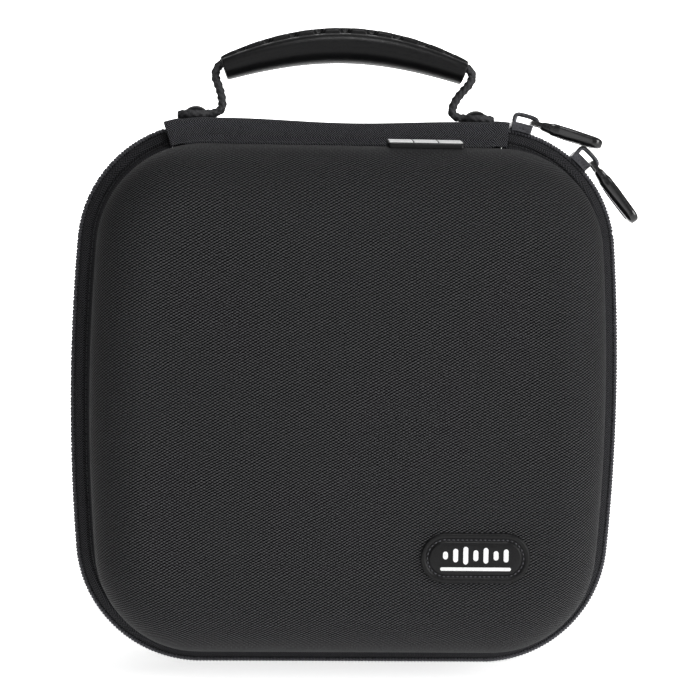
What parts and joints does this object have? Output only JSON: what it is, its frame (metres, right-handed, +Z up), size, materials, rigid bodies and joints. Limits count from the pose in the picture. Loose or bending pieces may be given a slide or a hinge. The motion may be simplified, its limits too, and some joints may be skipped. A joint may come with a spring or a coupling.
{
  "type": "headphone carrying case",
  "caption": "Rounded-square hard-shell zip case for folded headphones, with a hinged lid, paired zip sliders and a carrying handle on its webbing spine.",
  "frame": {"origin": "on the floor, on the parting plane between the two halves, in the middle of the case's width", "axes": "+Z up towards the handle and hinge, -Y towards the front (the lid with the badge), +X towards the sliders' side"},
  "size_m": [0.2284, 0.1019, 0.2583],
  "materials": {
    "woven_nylon": "coarse matte weave",
    "eva_foam": "matte closed-cell foam",
    "lining": "brushed knit",
    "bias_tape": "fine ribbed tape",
    "zipper": "nylon coil on woven tape",
    "webbing": "herringbone webbing",
    "rivet_metal": "black nickel",
    "rope": "braided cord",
    "moulded_rubber": "satin",
    "slider_metal": "gunmetal",
    "badge_rubber": "satin",
    "print_white": "plain print",
    "mesh": "open knitted mesh",
    "elastic": "ribbed elastic"
  },
  "bodies": {
    "back_half": {"back_cover": "woven_nylon", "back_shell": "eva_foam", "back_lining": "lining", "back_binding": "bias_tape", "back_zipper_coil": "zipper", "back_zipper_tape": "zipper", "front_zipper_coil_in_sliders": "zipper", "front_zipper_tape_in_sliders": "zipper", "hinge_strip_back": "webbing", "spine_lining_back": "lining", "handle_rivets": "rivet_metal", "rivet_washers": "rivet_metal", "rope_loop_left": "moulded_rubber", "rope_loop_right": "moulded_rubber"},
    "lid": {"front_cover": "woven_nylon", "front_shell": "eva_foam", "front_lining": "lining", "front_binding": "bias_tape", "front_zipper_coil": "zipper", "front_zipper_tape": "zipper", "hinge_strip_front": "webbing", "spine_lining_front": "lining", "badge_plate": "badge_rubber", "badge_mark": "print_white", "edge_label": "badge_rubber", "pocket_mesh": "mesh", "pocket_binding": "bias_tape", "pocket_elastic": "elastic"},
    "handle": {"handle_rope": "rope", "handle_grip": "moulded_rubber"},
    "upper_slider": {"upper_slider_body": "slider_metal", "upper_slider_bridge": "slider_metal"},
    "lower_slider": {"lower_slider_body": "slider_metal", "lower_slider_bridge": "slider_metal"},
    "upper_pull": {"upper_pull_link": "slider_metal", "upper_pull_grip": "moulded_rubber"},
    "lower_pull": {"lower_pull_link": "slider_metal", "lower_pull_grip": "moulded_rubber"}
  },
  "joints": [
    {"name": "lid_hinge", "type": "hinge", "parent": "back_half", "child": "lid", "pos_m": [-0.005, 0, 0.22], "axis": [-1, 0, 0], "range_deg": [0, 90]},
    {"name": "handle_swing", "type": "hinge", "parent": "back_half", "child": "handle", "pos_m": [-0.005, 0.005, 0.222], "axis": [-1, 0, 0], "range_deg": [0, 80]},
    {"name": "upper_slider_travel", "type": "hinge", "parent": "back_half", "child": "upper_slider", "pos_m": [0.05764, 0, 0.1674], "axis": [0, 1, 0], "range_deg": [0, 8]},
    {"name": "lower_slider_travel", "type": "hinge", "parent": "upper_slider", "child": "lower_slider", "pos_m": [0.05764, 0, 0.1674], "axis": [0, 1, 0], "range_deg": [0, 22]},
    {"name": "upper_pull_swing", "type": "hinge", "parent": "upper_slider", "child": "upper_pull", "pos_m": [0.07406, 0, 0.22042], "axis": [0, -1, 0], "range_deg": [0, 95]},
    {"name": "lower_pull_swing", "type": "hinge", "parent": "lower_slider", "child": "lower_pull", "pos_m": [0.09869, 0, 0.20475], "axis": [0, -1, 0], "range_deg": [0, 30]}
  ]
}
